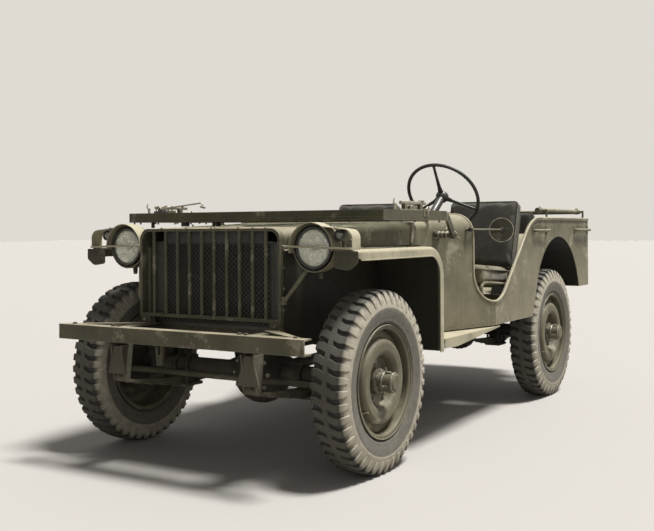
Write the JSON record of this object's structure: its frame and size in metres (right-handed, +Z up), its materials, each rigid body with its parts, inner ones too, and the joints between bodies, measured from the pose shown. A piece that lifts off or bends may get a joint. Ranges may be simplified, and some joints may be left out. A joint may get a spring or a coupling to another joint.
{
  "type": "army 4x4 car",
  "caption": "Light open army reconnaissance car with driven front and rear axles, steering, turning wheels and a windscreen that folds forward over the hood.",
  "frame": {"origin": "on the ground under the middle of the overall length and width", "axes": "+X to the car's left, +Y to its rear, +Z up"},
  "size_m": [1.426, 3.3452, 1.2768],
  "materials": {
    "body_paint": "flat",
    "chassis_paint": "flat",
    "dark_metal": "flat",
    "iron": "rough",
    "tyre": "dusty",
    "canvas": "woven",
    "glass": "clear",
    "lens": "clear",
    "plastic": "worn"
  },
  "bodies": {
    "chassis": {"body_handles": "body_paint", "controls": "dark_metal", "cowl": "body_paint", "cross_members": "chassis_paint", "engine_block": "iron", "exhaust": "iron", "floor": "body_paint", "frame_rails": "chassis_paint", "front_axle": "chassis_paint", "front_bumper": "body_paint", "front_seat_backs": "canvas", "front_seat_cushions": "canvas", "gearbox": "iron", "headlamps": "body_paint", "hood": "body_paint", "instrument_panel": "body_paint", "lamp_guards": "body_paint", "lamp_lenses": "lens", "leaf_springs": "chassis_paint", "left_fender": "body_paint", "left_side_panel": "body_paint", "mirror": "body_paint", "propeller_shafts": "iron", "radiator": "dark_metal", "radiator_guard": "body_paint", "rear_axle": "chassis_paint", "rear_panel": "body_paint", "rear_seat_back": "canvas", "rear_seat_cushion": "canvas", "right_fender": "body_paint", "right_side_panel": "body_paint", "seat_frames": "body_paint", "spare_tyre": "tyre", "spare_wheel": "body_paint", "steering_column": "dark_metal", "steps": "body_paint", "tail_lamps": "body_paint", "top_bow": "body_paint", "wheel_wells": "body_paint"},
    "left_knuckle": {"left_knuckle": "chassis_paint"},
    "right_knuckle": {"right_knuckle": "chassis_paint"},
    "tie_rod": {"tie_rod": "chassis_paint"},
    "front_left_road_wheel": {"front_left_tyre": "tyre", "front_left_wheel": "body_paint"},
    "front_right_road_wheel": {"front_right_tyre": "tyre", "front_right_wheel": "body_paint"},
    "rear_left_road_wheel": {"rear_left_tyre": "tyre", "rear_left_wheel": "body_paint"},
    "rear_right_road_wheel": {"rear_right_tyre": "tyre", "rear_right_wheel": "body_paint"},
    "steering_wheel": {"steering_wheel": "plastic"},
    "windscreen": {"windscreen_frame": "body_paint", "windscreen_glass": "glass"}
  },
  "joints": [
    {"name": "steer_left", "type": "hinge", "parent": "chassis", "child": "left_knuckle", "pos_m": [0.515, -1.1915, 0.356], "axis": [0, 0, 1], "range_deg": [-26, 26]},
    {"name": "steer_right", "type": "hinge", "parent": "chassis", "child": "right_knuckle", "pos_m": [-0.515, -1.1915, 0.356], "axis": [0, 0, 1], "range_deg": [-26, 26]},
    {"name": "tie_rod_pivot", "type": "hinge", "parent": "left_knuckle", "child": "tie_rod", "pos_m": [0.515, -1.3665, 0.349], "axis": [0, 0, 1], "range_deg": [-26, 26]},
    {"name": "front_left_spin", "type": "hinge", "parent": "left_knuckle", "child": "front_left_road_wheel", "pos_m": [0.603, -1.1915, 0.356], "axis": [1, 0, 0], "continuous": true},
    {"name": "front_right_spin", "type": "hinge", "parent": "right_knuckle", "child": "front_right_road_wheel", "pos_m": [-0.603, -1.1915, 0.356], "axis": [1, 0, 0], "continuous": true},
    {"name": "rear_left_spin", "type": "hinge", "parent": "chassis", "child": "rear_left_road_wheel", "pos_m": [0.603, 0.8155, 0.356], "axis": [1, 0, 0], "continuous": true},
    {"name": "rear_right_spin", "type": "hinge", "parent": "chassis", "child": "rear_right_road_wheel", "pos_m": [-0.603, 0.8155, 0.356], "axis": [1, 0, 0], "continuous": true},
    {"name": "steering_wheel_turn", "type": "hinge", "parent": "chassis", "child": "steering_wheel", "pos_m": [0.335, 0.0705, 1.117], "axis": [0, 0.7986, 0.6018], "range_deg": [-312, 312]},
    {"name": "windscreen_fold", "type": "hinge", "parent": "chassis", "child": "windscreen", "pos_m": [0, -0.4905, 0.917], "axis": [-1, 0, 0], "range_deg": [0, 92]}
  ],
  "couplings": [
    {"joint": "steer_right", "follows": "steer_left", "ratio": 1},
    {"joint": "tie_rod_pivot", "follows": "steer_left", "ratio": -1},
    {"joint": "steering_wheel_turn", "follows": "steer_left", "ratio": 12}
  ]
}
